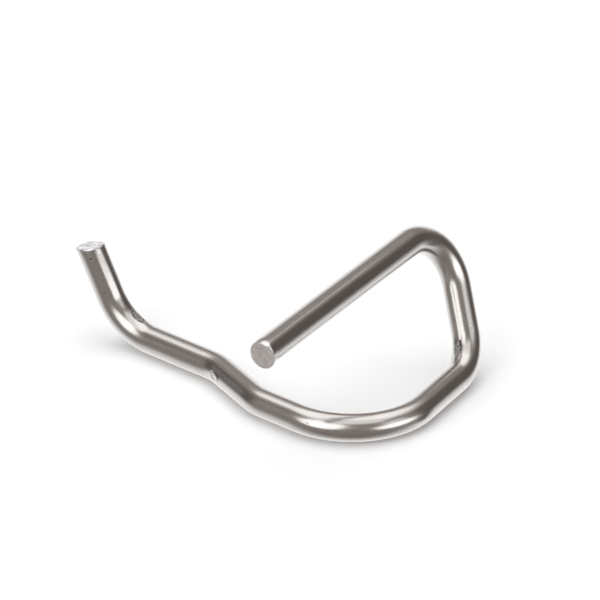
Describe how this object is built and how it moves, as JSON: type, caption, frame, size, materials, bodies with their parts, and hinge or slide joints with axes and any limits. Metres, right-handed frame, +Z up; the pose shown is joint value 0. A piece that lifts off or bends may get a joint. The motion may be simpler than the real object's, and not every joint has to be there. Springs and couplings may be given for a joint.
{
  "type": "hitch clip pin",
  "caption": "Bent spring wire hitch clip: a straight leg for a cross hole, a sloping head, a flat hooked foot and arm with a joggle, and a turned-up thumb tip.",
  "frame": {"origin": "centre of the clip's bounding box, at the level of the surface that it lies on", "axes": "+Z up from that surface; -Y along the leg towards its free end; +X towards the foot, with the thumb tip at -X"},
  "size_m": [0.0343, 0.029, 0.0134],
  "materials": {
    "wire": "bright drawn stainless spring wire, smooth and shiny, with faint draw lines and dull cropped ends"
  },
  "bodies": {
    "root": {"clip": "wire"}
  },
  "joints": []
}
